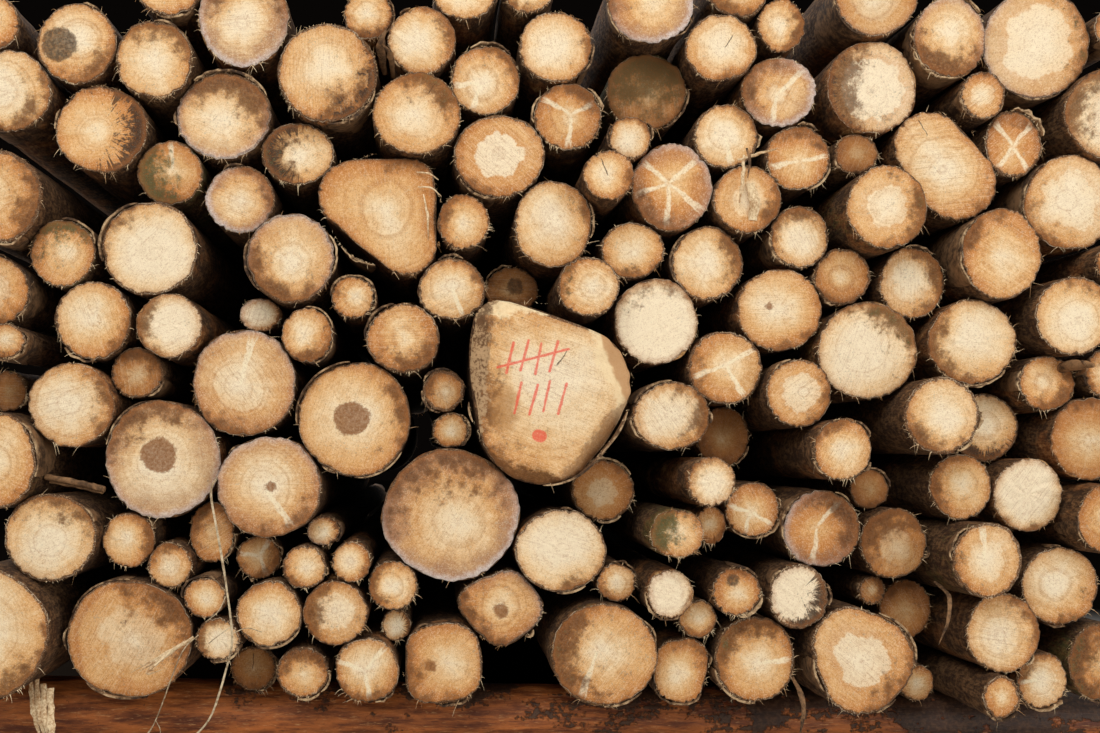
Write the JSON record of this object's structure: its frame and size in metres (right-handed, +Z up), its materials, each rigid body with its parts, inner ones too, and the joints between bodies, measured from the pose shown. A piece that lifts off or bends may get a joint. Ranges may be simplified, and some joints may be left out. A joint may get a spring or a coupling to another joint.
{
  "type": "stack of logs",
  "caption": "Stack of round softwood logs of mixed thickness, lying side by side and on one another across two round bearers, with their sawn ends in one upright face.",
  "frame": {"origin": "on the ground, in the middle of the stack's outline seen from above", "axes": "+X to the right along the sawn front, +Y into the stack along the logs, +Z up"},
  "size_m": [3.4098, 3.3208, 2.2923],
  "materials": {
    "log_wood": "rough sawn softwood ends, pale cream to amber, with thin grey-brown bark on the rounds",
    "bearer_wood": "wet, dark red-brown barked round with shreds of bast"
  },
  "bodies": {
    "root": {"blunt_log": "log_wood", "broad_marked_log": "log_wood", "course_1_logs_a": "log_wood", "course_1_logs_b": "log_wood", "course_1_logs_c": "log_wood", "course_1_logs_d": "log_wood", "course_2_logs_a": "log_wood", "course_2_logs_b": "log_wood", "course_2_logs_c": "log_wood", "course_2_logs_d": "log_wood", "course_3_logs_a": "log_wood", "course_3_logs_b": "log_wood", "course_3_logs_c": "log_wood", "course_3_logs_d": "log_wood", "course_4_logs_a": "log_wood", "course_4_logs_b": "log_wood", "course_4_logs_c": "log_wood", "course_4_logs_d": "log_wood", "course_5_logs_a": "log_wood", "course_5_logs_b": "log_wood", "course_5_logs_c": "log_wood", "course_5_logs_d": "log_wood", "course_6_logs_a": "log_wood", "course_6_logs_b": "log_wood", "course_6_logs_c": "log_wood", "course_6_logs_d": "log_wood", "course_7_logs_a": "log_wood", "course_7_logs_b": "log_wood", "course_7_logs_c": "log_wood", "course_7_logs_d": "log_wood", "course_8_logs_a": "log_wood", "course_8_logs_b": "log_wood", "course_8_logs_c": "log_wood", "course_8_logs_d": "log_wood", "course_9_logs_a": "log_wood", "course_9_logs_b": "log_wood", "course_9_logs_c": "log_wood", "course_9_logs_d": "log_wood", "diamond_log": "log_wood", "eight_sided_log": "log_wood", "front_bearer": "bearer_wood", "heart_shaped_log": "log_wood", "rear_bearer": "bearer_wood", "square_log": "log_wood", "twin_stem_log": "log_wood"}
  },
  "joints": []
}
